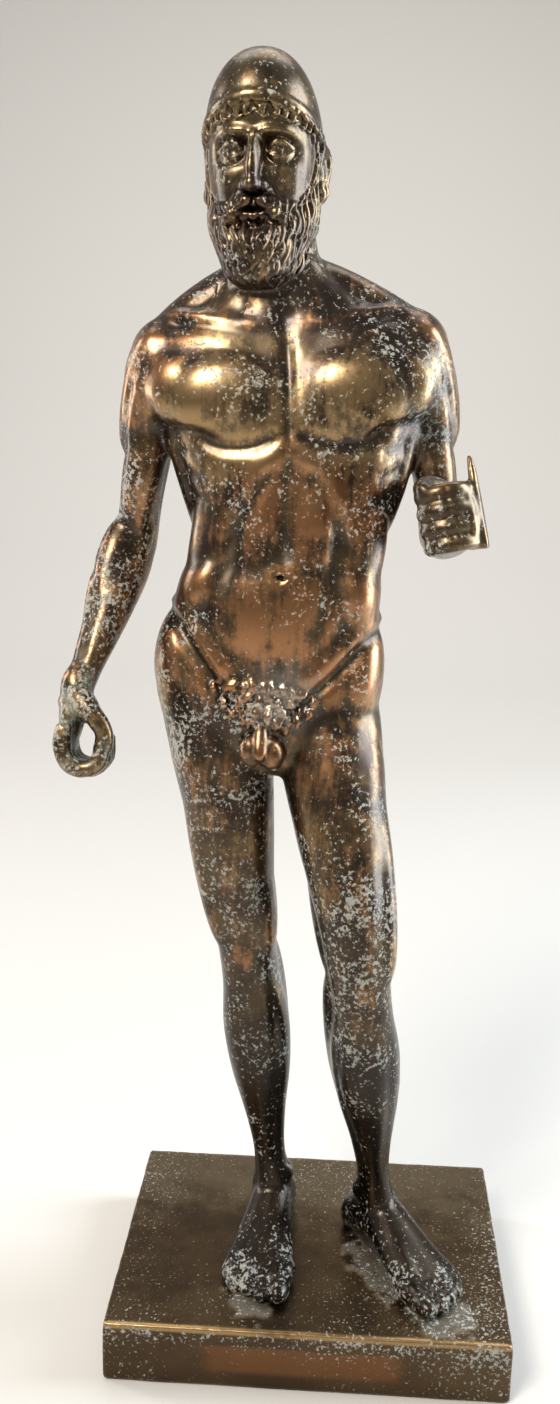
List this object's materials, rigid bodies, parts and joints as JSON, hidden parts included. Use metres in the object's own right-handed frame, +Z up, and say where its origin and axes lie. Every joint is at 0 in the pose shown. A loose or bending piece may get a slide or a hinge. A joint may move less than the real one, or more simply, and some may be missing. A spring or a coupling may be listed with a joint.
{
  "type": "classical warrior statuette",
  "caption": "Table statuette of a bearded warrior in a round helmet, standing with one leg relaxed and his hands closed, cast in bronze on a plain rectangular plinth.",
  "frame": {"origin": "centre of the plinth's underside", "axes": "+X to the figure's own left, -Y the way it faces, +Z up"},
  "size_m": [0.1549, 0.1161, 0.4218],
  "materials": {
    "bronze": "polished cast bronze with a brown patina and pale specks of corrosion",
    "plinth_bronze": "dull olive-brown cast bronze, rubbed pale along its front edge"
  },
  "bodies": {
    "root": {"figure": "bronze", "plinth": "plinth_bronze"}
  },
  "joints": []
}
